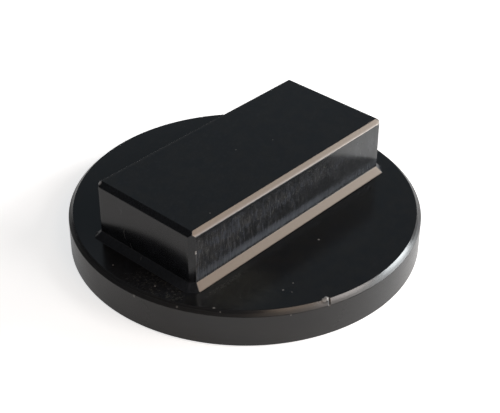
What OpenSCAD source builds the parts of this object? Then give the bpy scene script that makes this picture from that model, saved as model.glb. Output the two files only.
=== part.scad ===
// Jack pad adapter: a round base disc and a rectangular locating block, machined as one piece.
// Origin at the centre of the base disc's flat underside, +Z up through the block,
// X along the block's length and Y across its width.

/* [Base disc] */
// Diameter of the base disc
disc_d = 76; // [72:1:90]
// Thickness of the base disc
disc_t = 8.4; // [5:0.1:15]
// Bevel on the disc's top edge
rim_bevel = 1; // [0.5:0.1:1.2]
// Edge break round the disc's underside
underside_bevel = 0.3; // [0.1:0.1:1]

/* [Locating block] */
// Length of the block, along X
block_l = 59.5; // [45:0.5:60]
// Width of the block, along Y
block_w = 27; // [15:0.5:28]
// Height of the block above the disc
block_h = 13.4; // [8:0.1:25]
// Bevel on the block's top edges
top_bevel = 1; // [0.5:0.1:2]
// Bevel on the block's four upright corners
corner_bevel = 1.1; // [0.9:0.1:2]
// Sloping band that joins the block's foot to the disc
foot_bevel = 1.4; // [0.5:0.1:1.4]

/* [Hidden] */
// Facets that approximate each full turn of the disc
$fn = 240;
// Black finish over the whole piece
black_finish = [0.13, 0.13, 0.14];

disc_r = disc_d / 2;
block_top = disc_t + block_h;
// The block's profiles start below the disc's top, so the two solids share some volume
root_depth = disc_t / 2;
root_z = disc_t - root_depth;
// Half of the distance across the block's cut corners, on a 45 degree line
half_diagonal = (block_l / 2 + block_w / 2 - corner_bevel) / sqrt(2);
// Longer than any profile, so that each slab runs past the block on both sides
slab_length = block_l + block_w + 4 * foot_bevel;

// Turned disc with a bevelled top edge and a broken bottom edge
module base_disc() {
    rotate_extrude()
        polygon([
            [0, 0],
            [disc_r - underside_bevel, 0],
            [disc_r, underside_bevel],
            [disc_r, disc_t - rim_bevel],
            [disc_r - rim_bevel, disc_t],
            [0, disc_t]
        ]);
}

// Section between two opposite faces of the block: it slopes out at the foot and in at the top
module face_section(half_width) {
    foot = half_width + foot_bevel;
    shoulder = half_width - top_bevel;
    polygon([
        [-foot, root_z],
        [foot, root_z],
        [foot, disc_t],
        [half_width, disc_t + foot_bevel],
        [half_width, block_top - top_bevel],
        [shoulder, block_top],
        [-shoulder, block_top],
        [-half_width, block_top - top_bevel],
        [-half_width, disc_t + foot_bevel],
        [-foot, disc_t]
    ]);
}

// Section between two opposite corner bevels: it slopes out at the foot and runs straight up
module corner_section(half_width) {
    foot = half_width + foot_bevel;
    polygon([
        [-foot, root_z],
        [foot, root_z],
        [foot, disc_t],
        [half_width, disc_t + foot_bevel],
        [half_width, block_top],
        [-half_width, block_top],
        [-half_width, disc_t + foot_bevel],
        [-foot, disc_t]
    ]);
}

// A pair of the block's faces carried sideways as a long slab, turned about Z
module face_slab(half_width, turn) {
    rotate([0, 0, turn])
        rotate([90, 0, 0])
            linear_extrude(height = slab_length, center = true)
                face_section(half_width);
}

// A pair of corner bevels carried sideways in the same way
module corner_slab(turn) {
    rotate([0, 0, turn])
        rotate([90, 0, 0])
            linear_extrude(height = slab_length, center = true)
                corner_section(half_diagonal);
}

// Four slabs leave the block where they all overlap: two pairs of faces and the corner bevels
module locating_block() {
    intersection() {
        face_slab(block_l / 2, 0);
        face_slab(block_w / 2, 90);
        corner_slab(45);
        corner_slab(-45);
    }
}

// The whole adapter, one solid
module adapter_body() {
    color(black_finish)
        union() {
            base_disc();
            locating_block();
        }
}

adapter_body();
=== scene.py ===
import math

import bpy
import numpy as np
from mathutils import Matrix, Vector


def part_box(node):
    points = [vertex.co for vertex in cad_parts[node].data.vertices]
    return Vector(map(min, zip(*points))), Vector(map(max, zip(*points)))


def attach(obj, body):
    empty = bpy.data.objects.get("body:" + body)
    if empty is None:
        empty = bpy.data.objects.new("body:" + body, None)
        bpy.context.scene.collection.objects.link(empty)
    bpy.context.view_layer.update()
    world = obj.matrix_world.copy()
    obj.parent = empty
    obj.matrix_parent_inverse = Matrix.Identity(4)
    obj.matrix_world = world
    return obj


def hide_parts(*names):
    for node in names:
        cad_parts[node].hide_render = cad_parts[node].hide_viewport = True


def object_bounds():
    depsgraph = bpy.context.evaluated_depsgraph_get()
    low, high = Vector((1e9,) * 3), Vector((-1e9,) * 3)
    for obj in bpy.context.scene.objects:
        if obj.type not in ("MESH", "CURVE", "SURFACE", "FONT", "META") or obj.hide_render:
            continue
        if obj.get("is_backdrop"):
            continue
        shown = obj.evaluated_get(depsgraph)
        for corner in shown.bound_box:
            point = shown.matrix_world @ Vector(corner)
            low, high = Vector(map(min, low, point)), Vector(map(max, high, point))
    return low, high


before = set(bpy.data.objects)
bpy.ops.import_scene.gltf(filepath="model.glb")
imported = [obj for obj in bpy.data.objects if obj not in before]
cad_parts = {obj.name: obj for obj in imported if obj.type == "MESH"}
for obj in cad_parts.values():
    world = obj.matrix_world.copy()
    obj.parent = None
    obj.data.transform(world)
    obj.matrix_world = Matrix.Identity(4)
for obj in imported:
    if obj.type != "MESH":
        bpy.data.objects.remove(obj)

# Jack pad adapter: one black anodised piece, a turned base disc with a milled locating block on it.
# Metres, origin at the centre of the disc's underside, +Z up, X along the block.

MM = 0.001
BODY = "adapter_body"
CAD_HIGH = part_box(BODY)[1]
CAD_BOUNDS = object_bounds()

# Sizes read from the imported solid
DISC_R = CAD_HIGH.x
BLOCK_TOP = CAD_HIGH.z

# Sizes of the part's source
DISC_T = 8.4 * MM
RIM_BEVEL = 1.0 * MM
UNDERSIDE_BEVEL = 0.3 * MM
BLOCK_L = 59.5 * MM
BLOCK_W = 27.0 * MM
TOP_BEVEL = 1.0 * MM
FOOT_BEVEL = 1.4 * MM

# Bevels on the block's upright corners, from +X +Y round to +X -Y: the second was cut smaller
CORNER_BEVELS = np.array([1.1, 0.5, 1.05, 1.1]) * MM
# How much less the +Y side's top bevel was cut at its +X end and at its -X end
BEVEL_SHORTFALL = (0.20 * MM, 0.65 * MM)
# How far that bevel draws in for each unit of height
BEVEL_LEAN = 0.9
# Narrowest corner that is left where the top bevels cut the upright ones away
LEAST_CORNER = 0.14 * MM

# Radii that the finishing leaves on edges which are sharp in the drawing
RIM_EDGE_R = 0.16 * MM
RIM_SHOULDER_R = 0.28 * MM
BLOCK_EDGE_R = 0.14 * MM
BLOCK_SHOULDER_R = 0.45 * MM
FOOT_ROOT_R = 0.25 * MM
UPRIGHT_EDGE_R = 0.14 * MM

# Steps in a rounded edge, and the flat margin that keeps a face's shading flat beside it
ARC_STEPS = 4
MARGIN = 0.03 * MM
# Longest step across the two small bevels
FINE_STEP = 0.16 * MM
# Radius of the underside's innermost ring, and steps across the disc's top face
HUB_R = 0.6 * DISC_R
TOP_STEPS = 6

# The dent in the rim's bevel, and the lump of metal pushed up beside it
DENT_ANGLE = math.radians(248.94)
DENT_SLANT = 0.21
DENT_WIDTH = 0.10 * MM
DENT_DEPTH = 0.20 * MM
DENT_REACH = 1.15 * MM
LUMP_OFFSET = -0.60 * MM
LUMP_WIDTH = 0.26 * MM
LUMP_TAIL = 0.62 * MM
LUMP_HEIGHT = 0.28 * MM
LUMP_DOWN = -0.05 * MM
LUMP_REACH = 0.60 * MM


def rounded(points, radii, steps=ARC_STEPS):
    """A polyline in (reach, height) with each inner corner replaced by an arc.

    The arc touches both sides at radius x tan(half of the turn) from the corner. A point
    one margin further out on each side holds the flat stretch flat when shaded smooth.
    """
    points = np.asarray(points, float)
    path = [points[0]]
    for before, corner, after, radius in zip(points, points[1:], points[2:], radii):
        into = (corner - before) / np.linalg.norm(corner - before)
        out = (after - corner) / np.linalg.norm(after - corner)
        turn = math.atan2(into[0] * out[1] - into[1] * out[0], into @ out)
        tangent = radius * math.tan(abs(turn) / 2)
        side = math.copysign(1.0, turn) * np.array([-into[1], into[0]])
        centre = corner - into * tangent + side * radius
        angle = np.linspace(0, abs(turn), steps + 1)[:, None]
        arc = centre - side * radius * np.cos(angle) + into * radius * np.sin(angle)
        path += [corner - into * (tangent + MARGIN), *arc, corner + out * (tangent + MARGIN)]
    path.append(points[-1])
    return np.array(path)


def subdivided(path, longest):
    """The same polyline, with each stretch split evenly into steps no longer than `longest`."""
    pieces = [path[:1]]
    for a, b in zip(path, path[1:]):
        count = math.ceil(np.linalg.norm(b - a) / longest)
        pieces.append(a + (b - a) * np.linspace(0, 1, count + 1)[1:, None])
    return np.vstack(pieces)


def octagon(reach):
    """The eight corners of the block's outline, grown by `reach` on every side.

    Each corner of the rectangle is cut off at the same distance along both sides. At the
    foot the cut grows by reach x (2 - sqrt 2), as the band turns the corner. Above it the
    bevel runs straight up, so the cut shrinks by what both sides draw in until it nearly
    vanishes. The +Y side draws in later than the others, by its bevel's shortfall, and then
    by BEVEL_LEAN for each unit of height.
    """
    corners = []
    for x, y, bevel in zip((1, -1, -1, 1), (1, 1, -1, -1), CORNER_BEVELS):
        shortfall = BEVEL_SHORTFALL[0 if x > 0 else 1] if y > 0 else 0.0
        lean = BEVEL_LEAN if y > 0 else 1.0
        across = reach if reach > 0 else min(reach + shortfall, 0.0) * lean
        half_l = BLOCK_L / 2 + reach
        half_w = BLOCK_W / 2 + across
        growth = reach * (2 - math.sqrt(2)) if reach > 0 else reach + across
        cut = max(bevel + growth, LEAST_CORNER)
        pair = [(x * half_l, y * (half_w - cut)), (x * (half_l - cut), y * half_w)]
        corners += pair if x * y > 0 else pair[::-1]
    return np.array(corners)


def outline_plan(degrees_per_step=1.0, fine_from=241.0, fine_to=251.0, fine_step=0.2):
    """How points are shared along the block's outline: (side, fraction, arc angle) for each.

    On each side the fractions are those at which evenly spaced rays from the centre cross
    the nominal outline, so the same points also make an even circle for the disc, with
    closer rays where the rim is dented. At each corner the arc angle runs from 0 to the
    full turn of 45 degrees, and is -1 elsewhere.
    """
    fine = np.radians(np.arange(fine_from, fine_to, fine_step))
    corners = octagon(0)
    sides, fractions, arcs = [], [], []
    for k in range(8):
        a, b = corners[k], corners[(k + 1) % 8]
        start = math.atan2(a[1], a[0])
        span = (math.atan2(b[1], b[0]) - start) % math.tau
        count = max(3, round(math.degrees(span) / degrees_per_step))
        ray = start + span * np.linspace(0, 1, count + 1)[1:-1]
        close = (fine - start) % math.tau + start
        close = close[close < start + span]
        if len(close):
            ray = np.sort(np.concatenate([ray[(ray < close[0]) | (ray > close[-1])], close]))
        d = b - a
        f = (a[0] * np.sin(ray) - a[1] * np.cos(ray)) / (d[1] * np.cos(ray) - d[0] * np.sin(ray))
        turn = np.linspace(0, math.pi / 4, ARC_STEPS + 1)
        sides += [np.full(len(turn), k), np.full(len(f), k)]
        fractions += [np.zeros(len(turn)), f]
        arcs += [turn, np.full(len(f), -1.0)]
    return np.concatenate(sides), np.concatenate(fractions), np.concatenate(arcs)


SIDE, FRACTION, ARC = outline_plan()


def block_ring(reach):
    """The block's outline grown by `reach`, with its upright corners rounded.

    A side point lies between the ends of its side by its fraction. A corner point lies on
    an arc that touches both sides, so centre + radius x (cos, sin) of the turning normal.
    """
    corners = octagon(reach)
    following = np.roll(corners, -1, 0)
    along = following - corners
    along /= np.linalg.norm(along, axis=1)[:, None]
    tangent = UPRIGHT_EDGE_R * math.tan(math.pi / 8)
    first = (corners + along * (tangent + MARGIN))[SIDE]
    last = (following - along * (tangent + MARGIN))[SIDE]
    flat = first + (last - first) * FRACTION[:, None]
    arriving = np.roll(along, 1, 0)[SIDE]
    inward = np.column_stack([-arriving[:, 1], arriving[:, 0]])
    centre = corners[SIDE] - arriving * tangent + inward * UPRIGHT_EDGE_R
    swing = ARC[:, None]
    curved = centre + UPRIGHT_EDGE_R * (arriving * np.sin(swing) - inward * np.cos(swing))
    return np.where(swing < 0, flat, curved)


def spread_rays(ring, least=math.radians(0.15)):
    """The angles of a ring's points from the centre, with no gap narrower than `least`.

    Each gap is raised to the least one and all are scaled back to one full turn, so that
    points which crowd at the block's corners stand apart on the disc's circles.
    """
    ray = np.unwrap(np.arctan2(ring[:, 1], ring[:, 0]))
    gaps = np.maximum(np.diff(np.append(ray, ray[0] + math.tau)), least)
    steps = np.cumsum(gaps * math.tau / gaps.sum())
    return ray[0] + np.concatenate([[0.0], steps[:-1]])


RAY = spread_rays(block_ring(FOOT_BEVEL))


def disc_ring(radius):
    """A circle of that radius, with a point on each of the foot outline's rays."""
    return radius * np.column_stack([np.cos(RAY), np.sin(RAY)])


def adapter_surface():
    """The whole adapter as one stack of closed rings, from the underside's centre upwards.

    The disc's rings are circles along its turned profile. On the disc's top face the rings
    pass evenly from the circle to the block's foot outline, and above that they are the
    block's outline grown or shrunk along its own profile.
    """
    turned = rounded(
        [
            (HUB_R, 0),
            (DISC_R - UNDERSIDE_BEVEL, 0),
            (DISC_R, UNDERSIDE_BEVEL),
            (DISC_R, DISC_T - RIM_BEVEL),
            (DISC_R - RIM_BEVEL, DISC_T),
            (DISC_R - 2 * RIM_BEVEL, DISC_T),
        ],
        [RIM_EDGE_R, RIM_EDGE_R, RIM_SHOULDER_R, RIM_EDGE_R],
    )
    milled = rounded(
        [
            (FOOT_BEVEL * 1.5, DISC_T),
            (FOOT_BEVEL, DISC_T),
            (0, DISC_T + FOOT_BEVEL),
            (0, BLOCK_TOP - TOP_BEVEL),
            (-TOP_BEVEL, BLOCK_TOP),
            (-1.5 * TOP_BEVEL, BLOCK_TOP),
        ],
        [FOOT_ROOT_R, FOOT_ROOT_R, BLOCK_SHOULDER_R, BLOCK_EDGE_R],
    )
    edge = np.argmax(turned[:, 1] > DISC_T - 2 * RIM_BEVEL)
    turned = np.insert(turned, edge, (DISC_R, DISC_T - 2 * RIM_BEVEL), axis=0)
    turned = np.vstack([turned[:edge], subdivided(turned[edge:], FINE_STEP)])
    edge = np.argmax(milled[:, 1] > BLOCK_TOP - 1.5 * TOP_BEVEL)
    milled = np.vstack([milled[:edge], subdivided(milled[edge:], FINE_STEP)])
    rings = [np.column_stack([disc_ring(r), np.full(len(RAY), z)]) for r, z in turned]
    outer = rings[-1]
    inner = np.column_stack([block_ring(milled[0, 0]), np.full(len(RAY), DISC_T)])
    for share in np.linspace(0, 1, TOP_STEPS + 1)[1:-1]:
        rings.append(outer + (inner - outer) * share)
    rings += [np.column_stack([block_ring(e), np.full(len(RAY), z)]) for e, z in milled]
    return np.array(rings)


def dented(rings):
    """The rings with the dent in the rim's bevel, and the lump of metal pushed up beside it.

    With `down` the way over the edge from its inner corner (outward plus downward) and
    `along` the way round the rim from the dent, the surface sinks by depth x
    exp(-(along / width)^2), fading beyond its reach, and rises by height x exp(-(a / width)^2
    - (d / reach)^2) about the lump's middle, both along the bevel's outward normal.
    """
    x, y, z = np.moveaxis(rings, -1, 0)
    down = np.hypot(x, y) - (DISC_R - RIM_BEVEL) + DISC_T - z
    angle = np.arctan2(y, x) % math.tau
    along = DISC_R * (angle - DENT_ANGLE) + DENT_SLANT * down
    across = np.exp(-((down - RIM_BEVEL) / DENT_REACH) ** 6)
    sink = DENT_DEPTH * np.exp(-(along / DENT_WIDTH) ** 2) * across
    width = np.where(along < LUMP_OFFSET, LUMP_TAIL, LUMP_WIDTH)
    off_lump = ((along - LUMP_OFFSET) / width) ** 2 + ((down - LUMP_DOWN) / LUMP_REACH) ** 2
    rise = LUMP_HEIGHT * np.exp(-off_lump)
    normal = np.stack([np.cos(angle), np.sin(angle), np.ones_like(angle)], -1) / math.sqrt(2)
    return rings + normal * (rise - sink)[..., None]


def mesh_from_rings(name, rings, low_pole):
    """A closed mesh: quads between neighbouring rings, a fan below and one flat face above."""
    count, width = rings.shape[:2]
    points = np.vstack([rings.reshape(-1, 3), low_pole])
    pole = len(points) - 1
    here = np.arange(width)
    after = (here + 1) % width
    start = np.arange(count - 1)[:, None] * width
    quads = np.stack([start + here, start + after, start + width + after, start + width + here], -1)
    fan = np.column_stack([np.full(width, pole), after, here])
    lid = (count - 1) * width + here
    mesh = bpy.data.meshes.new(name)
    faces = quads.reshape(-1, 4).tolist() + fan.tolist() + [lid.tolist()]
    mesh.from_pydata(points.tolist(), [], faces)
    mesh.polygons.foreach_set("use_smooth", np.ones(len(mesh.polygons), bool))
    mesh.update()
    return mesh


class Nodes:
    """Short calls for building one material's nodes, all on Object coordinates in millimetres."""

    def __init__(self, name):
        self.material = bpy.data.materials.new(name)
        self.material.use_nodes = True
        self.tree = self.material.node_tree
        self.shader = self.tree.nodes["Principled BSDF"]
        place = self.tree.nodes.new("ShaderNodeTexCoord")
        self.position = self.maths("MULTIPLY", place.outputs["Object"], 1 / MM, vector=True)
        split = self.tree.nodes.new("ShaderNodeSeparateXYZ")
        self.link(self.position, split.inputs[0])
        self.x, self.y, self.z = split.outputs

    def link(self, source, socket):
        """Joins an output to an input, or writes a plain value into it."""
        if isinstance(source, bpy.types.NodeSocket):
            self.tree.links.new(source, socket)
        else:
            socket.default_value = source

    def maths(self, operation, a, b=0.0, vector=False):
        """One Math or Vector Math node."""
        node = self.tree.nodes.new("ShaderNodeVectorMath" if vector else "ShaderNodeMath")
        node.operation = operation
        self.link(a, node.inputs[0])
        self.link((b, b, b) if vector and isinstance(b, float) else b, node.inputs[1])
        return node.outputs[0]

    def plus(self, a, b):
        """The sum of two numbers."""
        return self.maths("ADD", a, b)

    def times(self, a, b):
        """The product of two numbers."""
        return self.maths("MULTIPLY", a, b)

    def larger(self, a, b):
        """The larger of two numbers."""
        return self.maths("MAXIMUM", a, b)

    def measured(self, operation, a, b):
        """The number that one Vector Math node gives, such as a DISTANCE or a DOT_PRODUCT."""
        node = self.tree.nodes.new("ShaderNodeVectorMath")
        node.operation = operation
        self.link(a, node.inputs[0])
        self.link(b, node.inputs[1])
        return node.outputs["Value"]

    def stretched(self, along_x, along_y, along_z):
        """The position with each axis scaled, so that a pattern runs long or short along it."""
        return self.maths("MULTIPLY", self.position, (along_x, along_y, along_z), vector=True)

    def noise(self, where, detail=2.0, roughness=0.5, dimensions="3D"):
        """A noise pattern, one feature per unit of `where`, from 0 to 1."""
        node = self.tree.nodes.new("ShaderNodeTexNoise")
        node.noise_dimensions = dimensions
        self.link(where, node.inputs["W" if dimensions == "1D" else "Vector"])
        node.inputs["Scale"].default_value = 1.0
        node.inputs["Detail"].default_value = detail
        node.inputs["Roughness"].default_value = roughness
        return node.outputs["Fac"]

    def ramp(self, value, low, high, to_low=0.0, to_high=1.0):
        """A value carried from the range low..high to to_low..to_high, with soft ends."""
        node = self.tree.nodes.new("ShaderNodeMapRange")
        node.interpolation_type = "SMOOTHSTEP"
        self.link(value, node.inputs["Value"])
        ends = {"From Min": low, "From Max": high, "To Min": to_low, "To Max": to_high}
        for name, number in ends.items():
            node.inputs[name].default_value = number
        return node.outputs[0]

    def hump(self, value, rise_from, rise_to, fall_from, fall_to):
        """0 below the first range and above the second, 1 between them, with soft slopes."""
        rise = self.ramp(value, rise_from, rise_to)
        return self.plus(rise, self.ramp(value, fall_from, fall_to, 0.0, -1.0))

    def spots(self, places):
        """Small round marks: 1 at each (x, y, z) in millimetres, 0 beyond its radius."""
        total = 0.0
        for x, y, z, radius in places:
            gap = self.measured("DISTANCE", self.position, (x, y, z))
            total = self.larger(total, self.ramp(gap, radius * SPOT_CORE, radius, 1.0, 0.0))
        return total

    def blend(self, share, first, second):
        """A colour between two, by a share from 0 to 1."""
        node = self.tree.nodes.new("ShaderNodeMix")
        node.data_type = "RGBA"
        self.link(share, node.inputs["Factor"])
        self.link(first, node.inputs["A"])
        self.link(second, node.inputs["B"])
        return node.outputs["Result"]

    def bump(self, height, depth_mm):
        """Shading relief of the given depth, in millimetres."""
        node = self.tree.nodes.new("ShaderNodeBump")
        node.inputs["Strength"].default_value = 1.0
        node.inputs["Distance"].default_value = depth_mm * MM
        self.link(height, node.inputs["Height"])
        self.link(node.outputs[0], self.shader.inputs["Normal"])

    def finish(self, colour, matt, index, tint=(1, 1, 1, 1)):
        """Sets the shader: its colour, how matt it is, and its index, for how much it reflects."""
        self.link(colour, self.shader.inputs["Base Color"])
        self.link(matt, self.shader.inputs["Roughness"])
        self.shader.inputs["IOR"].default_value = index
        self.shader.inputs["Specular Tint"].default_value = tint
        return self.material


# The dye in the anodised skin, the paler colours where it is thin, and what lies on it
DYE = (0.0046, 0.0048, 0.0056, 1)
DYE_WARM = (0.0080, 0.0074, 0.0068, 1)
# HAZE is also the colour of the painted light that lifts the block's shadow on the disc
HAZE = (0.056, 0.060, 0.071, 1)
# HAZE_WARM also carries the painted reflection at the rim's right end
HAZE_WARM = (0.058, 0.057, 0.058, 1)
# Olive colour of the painted reflection on the disc in front of the near corner
OLIVE_PAINTED_LIGHT = (0.050, 0.050, 0.041, 1)
# Pale haze of the strip above the long sides' foot, and also the colour of the painted highlight on
# the top band's lower edge
PALE_HAZE_AND_HIGHLIGHT = (0.100, 0.108, 0.125, 1)
DUST = (0.17, 0.17, 0.14, 1)
# Bare metal colour of wear and specks, also used for the painted highlights on the top face's rear
# edge and the left upright edge
BARE_METAL_AND_HIGHLIGHT = (0.44, 0.42, 0.40, 1)
# Near-white colour of the painted glint on the block's left corner
GLINT_WHITE = (0.86, 0.87, 0.89, 1)
BRONZE_TINT = (1.0, 0.785, 0.63, 1)

# Share of a spot's radius, and of a line's reach, that is fully marked
SPOT_CORE = 0.4
LINE_CORE = 0.3

# Light specks, in millimetres: x, y, z and radius
RIM_SPECKS = [
    (-30.5, -21.6, 8.0, 0.20),
    (-21.2, -31.6, 7.2, 0.22),
    (-37.7, -5.0, 7.1, 0.45),
    (-34.9, -14.2, 7.8, 0.30),
    (-14.0, -35.3, 7.4, 0.30),
]
DISC_SPECKS = [
    (0.1, -20.7, 8.4, 0.32),
    (-17.5, -26.3, 8.4, 0.28),
    (-14.5, -26.3, 8.4, 0.20),
    (-16.8, -28.0, 8.4, 0.16),
    (-30.8, -20.2, 8.4, 0.36),
    (-34.8, 4.1, 8.4, 0.25),
    (-33.8, -7.0, 8.4, 0.28),
]
TOP_SPECKS = [
    (-22.0, -10.9, 21.8, 0.25),
    (6.6, -1.9, 21.8, 0.22),
    (-1.6, 1.2, 21.8, 0.22),
]
# Where the disc's top face is lightened by painted light, in front of the near corner and in the
# block's shadow before the short side, and where it is dusty: x, y, z and radius
PAINTED_REFLECTION_PLACE = [(-23.0, -19.0, 8.4, 10.0)]
PAINTED_SHADOW_LIFT_PLACE = [(-33.0, 0.0, 8.4, 20.0)]
DUSTY_PLACE = [(-33.5, -7.5, 8.4, 9.5)]
# The raised lump, a painted glint on the block's left corner, rubbed spots on its left foot, and
# pale spots on its near corner
LUMP_PLACE = [(-13.7, -34.3, 8.5, 0.70), (-14.3, -34.2, 8.4, 0.65)]
LEFT_CORNER_GLINT = [(-29.1, 13.4, 21.4, 0.75)]
LEFT_FOOT_SPOTS = [(-30.4, 13.9, 8.5, 0.60), (-29.5, 14.1, 8.9, 0.40)]
NEAR_CORNER_SPOTS = [(-28.68, -13.50, 17.3, 0.24), (-28.68, -13.50, 16.9, 0.26)]
# Pale lines up two upright edges, in millimetres: a faint line up the near one, and a painted
# reflection up the left one
NEAR_EDGE = {"x": -28.68, "y": -13.5, "low": 9.0, "high": 18.0, "reach": 0.18}
LEFT_EDGE_REFLECTION = {"x": -29.55, "y": 13.3, "low": 12.0, "high": 22.5, "reach": 0.30}
# A faint scratch on the disc along the foot, as a start and an end
DISC_SCRATCHES = [((-29.5, -16.7, 8.4), (-19.8, -16.7, 8.4))]
# A painted highlight line along the top face's rear edge, where the far bevel catches the light
TOP_EDGE_HIGHLIGHT = [((-28.6, 13.0, 21.8), (18.0, 12.8, 21.8))]
# Fine scratches on the short side, each a start and an end
SHORT_SIDE_SCRATCHES = [
    ((-29.75, 5.6, 14.0), (-29.75, 6.1, 12.9)),
    ((-29.75, 6.1, 13.0), (-29.75, 5.7, 11.6)),
    ((-29.75, 4.3, 10.9), (-29.75, 3.8, 9.9)),
    ((-29.75, 6.7, 18.6), (-29.75, 6.5, 17.4)),
    ((-30.10, 0.8, 9.5), (-30.40, 0.6, 9.1)),
]

# How strongly each mark's pale colour shows: bare metal in wear and specks, painted highlight in
# the top edge line, the left edge and the left corner
SPECK_SHARE = 0.40
TOP_SPECK_SHARE = 0.20
LUMP_SHARE = 0.8
DISC_SCRATCH_SHARE = 0.015
TOP_EDGE_HIGHLIGHT_SHARE = 0.022
SIDE_SCRATCH_SHARE = 0.14
NEAR_EDGE_SHARE = 0.07
LEFT_EDGE_REFLECTION_SHARE = 0.15
LEFT_FOOT_SHARE = 0.25
LEFT_CORNER_GLINT_SHARE = 0.6

# Depths of the lathe's rings and of the cutter's marks, in millimetres, and how close the rings are
RING_DEPTH = 0.0015
CUTTER_DEPTH = 0.001
RINGS_PER_MM = 9.0
# How matt the flat faces are, and how much more the lump is
FACE_MATT = 0.2
LUMP_MATT = 0.6


def scratch_and_highlight_lines(n, lines, reach):
    """Thin straight lines, for scratches and for a painted highlight: 1 on each line from its start
    to its end, 0 beyond the reach.

    A point's foot on the line is start + along x (its offset . along), kept between the ends.
    """
    total = 0.0
    for start, end in lines:
        start, end = Vector(start), Vector(end)
        along = (end - start).normalized()
        offset = n.maths("SUBTRACT", n.position, tuple(start), vector=True)
        travel = n.larger(n.measured("DOT_PRODUCT", offset, along), 0.0)
        travel = n.maths("MINIMUM", travel, (end - start).length)
        foot = n.maths("MULTIPLY", tuple(along), travel, vector=True)
        gap = n.measured("DISTANCE", offset, foot)
        total = n.larger(total, n.ramp(gap, reach * LINE_CORE, reach, 1.0, 0.0))
    return total


def pale_edge_line(n, x, y, low, high, reach):
    """A thin broken line up an edge at (x, y), between two heights: 1 on it, 0 beyond its reach."""
    gap = n.measured("DISTANCE", n.stretched(1.0, 1.0, 0.0), (x, y, 0.0))
    line = n.ramp(gap, reach * LINE_CORE, reach, 1.0, 0.0)
    ends = n.hump(n.z, low, low + 1.0, high - 1.0, high)
    breaks = n.ramp(n.noise(n.times(n.z, 1.2), dimensions="1D"), 0.3, 0.6, 0.3, 1.0)
    return n.times(n.times(line, ends), breaks)


def near_corner_pale_line(n):
    """The near corner's edge, pale in a faint line with one bright spot."""
    line = n.times(pale_edge_line(n, **NEAR_EDGE), NEAR_EDGE_SHARE)
    return n.larger(line, n.spots(NEAR_CORNER_SPOTS))


def black_face(n, haze_share):
    """A flat black face: its colour, in warm patches under a grain of thin haze, and that grain."""
    patches = n.noise(n.stretched(0.35, 0.35, 0.35), detail=4)
    grain = n.noise(n.stretched(1.5, 1.5, 1.5), detail=2, roughness=0.6)
    colour = n.blend(n.ramp(patches, 0.3, 0.7), DYE, DYE_WARM)
    return n.blend(n.ramp(grain, 0.48, 0.72, 0.0, haze_share), colour, HAZE), grain


def turned_rim():
    """The rim's wall and bevels, turned on a lathe: fine rings round the disc.

    A thin haze lies over them, and towards +X it grows into a painted reflection that brightens the
    rim's right end. The bevel is matter along its lower edge, and the lump on it is bare metal.
    """
    n = Nodes("turned_rim")
    rings = n.noise(n.times(n.z, RINGS_PER_MM), detail=3, dimensions="1D")
    patches = n.noise(n.stretched(0.12, 0.12, 0.3), detail=3)
    colour = n.blend(n.ramp(patches, 0.35, 0.7), DYE, DYE_WARM)
    # Painted reflection: the haze's share grows up to 3.2 times towards +X and brightens the rim's
    # right end; the base share is a thin real haze
    haze = n.times(n.ramp(n.z, 7.1, 7.7, 0.30, 0.26), n.ramp(n.x, 2.0, 12.0, 1.0, 3.2))
    colour = n.blend(haze, colour, HAZE_WARM)
    colour = n.blend(n.times(n.spots(RIM_SPECKS), SPECK_SHARE), colour, BARE_METAL_AND_HIGHLIGHT)
    lump = n.times(n.spots(LUMP_PLACE), LUMP_SHARE)
    colour = n.blend(lump, colour, BARE_METAL_AND_HIGHLIGHT)
    n.bump(rings, RING_DEPTH)
    lower_bevel = n.hump(n.z, 7.36, 7.46, 7.60, 8.15)
    matt = n.plus(n.ramp(patches, 0.3, 0.7, 0.20, 0.27), n.times(lump, LUMP_MATT))
    matt = n.plus(matt, n.times(lower_bevel, 0.16))
    return n.finish(colour, matt, index=1.5)


def faced_top():
    """The disc's flat top face: painted light as a grainy veil in front of one corner and in the
    block's shadow, dust beside it, a few specks.
    """
    n = Nodes("faced_top")
    colour, grain = black_face(n, haze_share=0.05)
    # Painted reflection: a grainy olive veil lightens the disc in front of the near corner, where
    # the disc mirrors the dark long side
    haze = n.times(n.spots(PAINTED_REFLECTION_PLACE), n.ramp(grain, 0.2, 0.8, 0.12, 0.34))
    colour = n.blend(haze, colour, OLIVE_PAINTED_LIGHT)
    # Painted light: a grainy pale veil lifts the block's shadow on the disc before the short side
    painted_shadow_lift = n.times(n.spots(PAINTED_SHADOW_LIFT_PLACE), n.ramp(grain, 0.3, 0.7, 0.12, 0.22))
    colour = n.blend(painted_shadow_lift, colour, HAZE)
    clumps = n.noise(n.stretched(1.6, 1.6, 1.6), detail=2, roughness=0.6)
    dust = n.times(n.spots(DUSTY_PLACE), n.ramp(clumps, 0.52, 0.68, 0.0, 0.13))
    colour = n.blend(dust, colour, DUST)
    specks = n.times(n.spots(DISC_SPECKS), SPECK_SHARE)
    scratch = n.times(scratch_and_highlight_lines(n, DISC_SCRATCHES, reach=0.80), DISC_SCRATCH_SHARE)
    lump = n.times(n.spots(LUMP_PLACE), LUMP_SHARE)
    colour = n.blend(n.larger(n.larger(specks, scratch), lump), colour, BARE_METAL_AND_HIGHLIGHT)
    return n.finish(colour, n.plus(n.times(lump, LUMP_MATT), FACE_MATT), index=1.5)


def block_face():
    """The block's top face, with a few specks and a painted highlight line along its rear edge."""
    n = Nodes("block_face")
    colour, _ = black_face(n, haze_share=0.08)
    specks = n.times(n.spots(TOP_SPECKS), TOP_SPECK_SHARE)
    # Painted highlight along the rear edge, in the pale bare-metal colour
    line = n.times(scratch_and_highlight_lines(n, TOP_EDGE_HIGHLIGHT, reach=0.55), TOP_EDGE_HIGHLIGHT_SHARE)
    colour = n.blend(n.larger(specks, line), colour, BARE_METAL_AND_HIGHLIGHT)
    return n.finish(colour, FACE_MATT, index=1.5)


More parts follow.
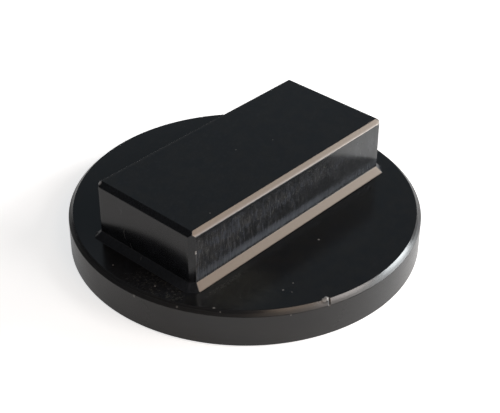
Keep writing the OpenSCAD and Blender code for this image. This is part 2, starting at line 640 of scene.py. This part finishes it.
def milled_long_side():
    """The block's long sides: fine upright cutter marks and a paler strip above the foot.

    The marks are thin haze wherever a mix of three noises is high: broad patches, fine
    upright lines and blotches. They are stronger along one pass of the cutter and fade
    towards +X and the top. Flecks of dust lie over the upper part.
    """
    n = Nodes("milled_long_side")
    broad = n.noise(n.stretched(0.45, 0.45, 0.2), detail=2)
    fine = n.noise(n.stretched(3.5, 3.5, 0.42), detail=2, roughness=0.6)
    blotches = n.noise(n.stretched(1.2, 1.2, 0.9), detail=3, roughness=0.75)
    marks = n.plus(n.times(broad, 0.25), n.times(fine, 0.52))
    marks = n.plus(marks, n.times(blotches, 0.23))

    level = n.ramp(marks, 0.41, 0.62, 0.06, 0.68)
    cutter_pass = n.hump(n.z, 15.0, 16.6, 17.2, 19.4)
    level = n.plus(level, n.times(cutter_pass, 0.25))
    level = n.plus(level, n.ramp(n.x, -24.0, 20.0, 0.0, -0.22))
    level = n.times(n.larger(level, 0.0), n.ramp(n.x, -24.0, 20.0, 1.0, 0.75))
    level = n.times(level, n.ramp(n.z, 19.4, 20.5, 1.0, 0.1))
    tone = n.ramp(n.noise(n.stretched(0.7, 0.7, 0.7), detail=2), 0.42, 0.58)
    colour = n.blend(level, DYE, n.blend(tone, HAZE, HAZE_WARM))

    strip = n.larger(n.hump(n.z, 9.95, 10.7, 11.0, 12.8), 0.0)
    strip = n.times(strip, n.ramp(marks, 0.36, 0.62, 0.50, 0.76))
    strip = n.times(strip, n.ramp(n.x, -29.0, -12.0, 0.50, 1.0))
    strip = n.times(strip, n.ramp(n.x, 2.0, 20.0, 1.0, 0.50))
    colour = n.blend(strip, colour, PALE_HAZE_AND_HIGHLIGHT)

    flecks = n.ramp(n.noise(n.stretched(2.4, 2.4, 1.6), detail=1), 0.66, 0.76, 0.0, 0.26)
    colour = n.blend(n.times(flecks, n.ramp(n.z, 12.5, 14.5)), colour, DUST)
    colour = n.blend(near_corner_pale_line(n), colour, BARE_METAL_AND_HIGHLIGHT)
    n.bump(fine, CUTTER_DEPTH)
    return n.finish(colour, matt=0.17, index=1.6)


def milled_short_side():
    """The block's short sides, their bands and its upright corner bevels: a smoother cut."""
    n = Nodes("milled_short_side")
    fine = n.noise(n.stretched(2.0, 2.0, 0.8), detail=3)
    foot = n.times(n.ramp(n.z, 9.6, 9.9, 0.28, 0.0), n.ramp(n.y, -13.4, -12.2))
    thin = n.plus(n.ramp(fine, 0.3, 0.7, 0.13, 0.26), foot)
    colour = n.blend(thin, DYE, HAZE)
    scratches = scratch_and_highlight_lines(n, SHORT_SIDE_SCRATCHES, reach=0.16)
    colour = n.blend(n.times(scratches, SIDE_SCRATCH_SHARE), colour, BARE_METAL_AND_HIGHLIGHT)
    colour = n.blend(near_corner_pale_line(n), colour, BARE_METAL_AND_HIGHLIGHT)
    # Painted reflection: a pale line up the left upright edge, where the edge at a grazing angle
    # mirrors the bright floor; the foot spots beside it are real rubbed marks
    left_edge_reflection = n.times(pale_edge_line(n, **LEFT_EDGE_REFLECTION), LEFT_EDGE_REFLECTION_SHARE)
    left_foot = n.times(n.spots(LEFT_FOOT_SPOTS), LEFT_FOOT_SHARE)
    colour = n.blend(n.larger(left_edge_reflection, left_foot), colour, BARE_METAL_AND_HIGHLIGHT)
    # Painted highlight: a near-white glint on the left corner's rounded top
    left_corner_glint = n.times(n.spots(LEFT_CORNER_GLINT), LEFT_CORNER_GLINT_SHARE)
    colour = n.blend(left_corner_glint, colour, GLINT_WHITE)
    return n.finish(colour, matt=0.19, index=1.46)


def top_band():
    """The bevel along the block's top edges: matt, with a bronze sheen, and a painted highlight
    that makes its lower edge paler.
    """
    n = Nodes("top_band")
    fine = n.noise(n.stretched(2.0, 2.0, 2.0), detail=3)
    colour = n.blend(n.ramp(fine, 0.3, 0.7), DYE, DYE_WARM)
    # Painted highlight: a paler colour along the band's lower, rounded edge, where the shoulder
    # catches the light
    colour = n.blend(n.ramp(n.z, 20.8, 21.25, 1.0, 0.0), colour, PALE_HAZE_AND_HIGHLIGHT)
    return n.finish(colour, matt=0.37, index=1.81, tint=BRONZE_TINT)


def foot_band():
    """The sloping band along the block's foot, a little duller than the one at the top."""
    n = Nodes("foot_band")
    fine = n.noise(n.stretched(2.0, 2.0, 2.0), detail=3)
    colour = n.blend(n.ramp(fine, 0.3, 0.7), DYE, DYE_WARM)
    return n.finish(colour, matt=0.42, index=1.72, tint=BRONZE_TINT)


def underside():
    """The flat underside, plainly turned."""
    n = Nodes("underside")
    patches = n.noise(n.stretched(0.1, 0.1, 0.1), detail=3)
    return n.finish(n.blend(patches, DYE, DYE_WARM), matt=0.35, index=1.5)


FINISHES = [
    underside,
    turned_rim,
    faced_top,
    foot_band,
    milled_long_side,
    milled_short_side,
    top_band,
    block_face,
]
# The outline's sides that are the block's long ones, at +Y and at -Y
LONG_SIDES = (1, 5)


def finish_of_faces(rings):
    """Which finish each quad carries, from the height and reach of the rings it joins.

    Bands are told apart by where the middle of a quad lies: on the underside, on the rim
    outside the disc's top face, on that face, on the foot or top bevel, or on a side.
    """
    middle = (rings[:-1] + rings[1:]) / 2
    middle = (middle + np.roll(middle, -1, 1)) / 2
    radius = np.hypot(middle[..., 0], middle[..., 1])
    z = middle[..., 2]
    slack = 0.1 * MM
    hair = slack / 10
    long_side = (np.isin(SIDE, LONG_SIDES) & ((ARC < 0) | (ARC == ARC.max())))[None, :]
    short_of = np.mean(BEVEL_SHORTFALL) * (SIDE == LONG_SIDES[0])
    kind = np.full(z.shape, FINISHES.index(block_face))
    for height, finish in (
        (BLOCK_TOP - hair, top_band),
        (BLOCK_TOP - TOP_BEVEL + short_of, milled_long_side),
        (DISC_T + FOOT_BEVEL, foot_band),
    ):
        cut = np.where(long_side, FINISHES.index(finish), FINISHES.index(milled_short_side))
        kind = np.where(z < height, cut, kind)
    kind[z < DISC_T + hair] = FINISHES.index(faced_top)
    kind[(z < DISC_T + slack) & (radius > DISC_R - RIM_BEVEL)] = FINISHES.index(turned_rim)
    kind[z < hair] = FINISHES.index(underside)
    return kind


def make_adapter():
    """The visible adapter, which stands for the CAD solid."""
    rings = adapter_surface()
    mesh = mesh_from_rings("adapter", dented(rings), (0, 0, 0))
    for finish in FINISHES:
        mesh.materials.append(finish())
    kinds = finish_of_faces(rings).ravel()
    fan = np.full(rings.shape[1], FINISHES.index(underside))
    lid = [FINISHES.index(block_face)]
    mesh.polygons.foreach_set("material_index", np.concatenate([kinds, fan, lid]).astype(np.int32))
    adapter = bpy.data.objects.new("adapter", mesh)
    bpy.context.collection.objects.link(adapter)
    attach(adapter, "root")
    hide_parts(BODY)


make_adapter()

# Camera: where its middle points, how far off it stands, how it is turned, and its lens
AIM = Vector((-0.77 * MM, -2.16 * MM, DISC_T))
CAMERA_DISTANCE = 271.68 * MM
CAMERA_HEADING = math.radians(42.24)
CAMERA_PITCH = math.radians(34.86)
CAMERA_ROLL = math.radians(0.403)
SENSOR = 36.0
FOCAL_LENGTH = 90.9
NEAREST = 0.01


def direction(azimuth, elevation):
    """A unit vector from its azimuth about +Z, counted from +X, and its elevation, in degrees."""
    a, e = math.radians(azimuth), math.radians(elevation)
    return Vector((math.cos(a) * math.cos(e), math.sin(a) * math.cos(e), math.sin(e)))


def make_camera():
    """The camera at the photograph's viewing angle."""
    forward = direction(math.degrees(CAMERA_HEADING), -math.degrees(CAMERA_PITCH))
    level = forward.cross(Vector((0, 0, 1))).normalized()
    upright = level.cross(forward)
    right = level * math.cos(CAMERA_ROLL) + upright * math.sin(CAMERA_ROLL)
    up = right.cross(forward)
    lens = bpy.data.cameras.new("camera")
    lens.sensor_width = SENSOR
    lens.lens = FOCAL_LENGTH
    lens.clip_start = NEAREST
    camera = bpy.data.objects.new("camera", lens)
    turn = Matrix((right, up, -forward)).transposed().to_4x4()
    camera.matrix_world = Matrix.Translation(AIM - forward * CAMERA_DISTANCE) @ turn
    bpy.context.collection.objects.link(camera)
    bpy.context.scene.camera = camera


make_camera()


# Soft boxes: name, azimuth and elevation in degrees, distance, width and height in metres,
# radiance and colour
SOFT_BOXES = [
    ("window", -36.0, 17.5, 0.8, 0.39, 0.24, 19.0, (0.93, 0.98, 1.0)),
    ("bright_wall", -70, 38, 0.8, 0.33, 0.22, 9.8, (1.0, 0.93, 0.89)),
    ("wall_end", -53, 31, 0.8, 0.12, 0.10, 6.0, (1.0, 0.96, 0.94)),
    ("warm_wall", -101, 48, 0.8, 0.32, 0.20, 4.0, (1.0, 0.76, 0.58)),
    ("back_wall", 42, 35, 1.0, 1.20, 0.90, 0.140, (0.74, 0.88, 1.0)),
]
ROOM_COLOUR = (0.80, 0.90, 1.0, 1)
ROOM_STRENGTH = 0.06


def soft_light(name, azimuth, elevation, distance, width, height, radiance, colour):
    """A rectangular soft box that faces the adapter. Its power gives the radiance named."""
    lamp = bpy.data.lights.new(name, "AREA")
    lamp.shape = "RECTANGLE"
    lamp.size = width
    lamp.size_y = height
    lamp.color = colour
    lamp.energy = radiance * width * height * math.pi
    box = bpy.data.objects.new(name, lamp)
    towards = direction(azimuth, elevation)
    box.location = towards * distance
    box.rotation_euler = towards.to_track_quat("Z", "Y").to_euler()
    bpy.context.collection.objects.link(box)


def make_lights():
    """A low cool window on the photograph's right, lit walls beside it, and a dim room."""
    for box in SOFT_BOXES:
        soft_light(*box)
    world = bpy.data.worlds.new("studio")
    bpy.context.scene.world = world
    world.use_nodes = True
    background = world.node_tree.nodes["Background"]
    background.inputs["Color"].default_value = ROOM_COLOUR
    background.inputs["Strength"].default_value = ROOM_STRENGTH


make_lights()

FLOOR_HALF = 4.0
PAPER = (0.86, 0.86, 0.86, 1)
PAPER_MATT = 0.45
PLAIN_WHITE = (1, 1, 1, 1)
# Share of plain white in the floor as the camera and reflections see it, and more for the camera
WHITE_SHARE = 0.36
CAMERA_SHARE = 0.36


def make_floor():
    """A plain pale floor under the adapter, which keeps its shadow."""
    corners = FLOOR_HALF * np.array([(-1, -1, 0), (1, -1, 0), (1, 1, 0), (-1, 1, 0)])
    mesh = bpy.data.meshes.new("floor")
    mesh.from_pydata(corners.tolist(), [], [(0, 1, 2, 3)])
    floor = bpy.data.objects.new("floor", mesh)
    bpy.context.collection.objects.link(floor)
    n = Nodes("pale_paper")
    rays = n.tree.nodes.new("ShaderNodeLightPath").outputs
    seen = n.plus(rays["Is Camera Ray"], rays["Is Glossy Ray"])
    seen = n.plus(seen, rays["Is Transmission Ray"])
    white = n.plus(n.times(seen, WHITE_SHARE), n.times(rays["Is Camera Ray"], CAMERA_SHARE))
    n.link(PAPER, n.shader.inputs["Base Color"])
    n.link(PAPER_MATT, n.shader.inputs["Roughness"])
    n.link(PLAIN_WHITE, n.shader.inputs["Emission Color"])
    n.link(white, n.shader.inputs["Emission Strength"])
    mesh.materials.append(n.material)
    floor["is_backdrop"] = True


make_floor()

bpy.context.scene.view_settings.view_transform = "Standard"

sizes = {"cad": CAD_BOUNDS, "visual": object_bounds()}
{name: [list(corner) for corner in box] for name, box in sizes.items()}
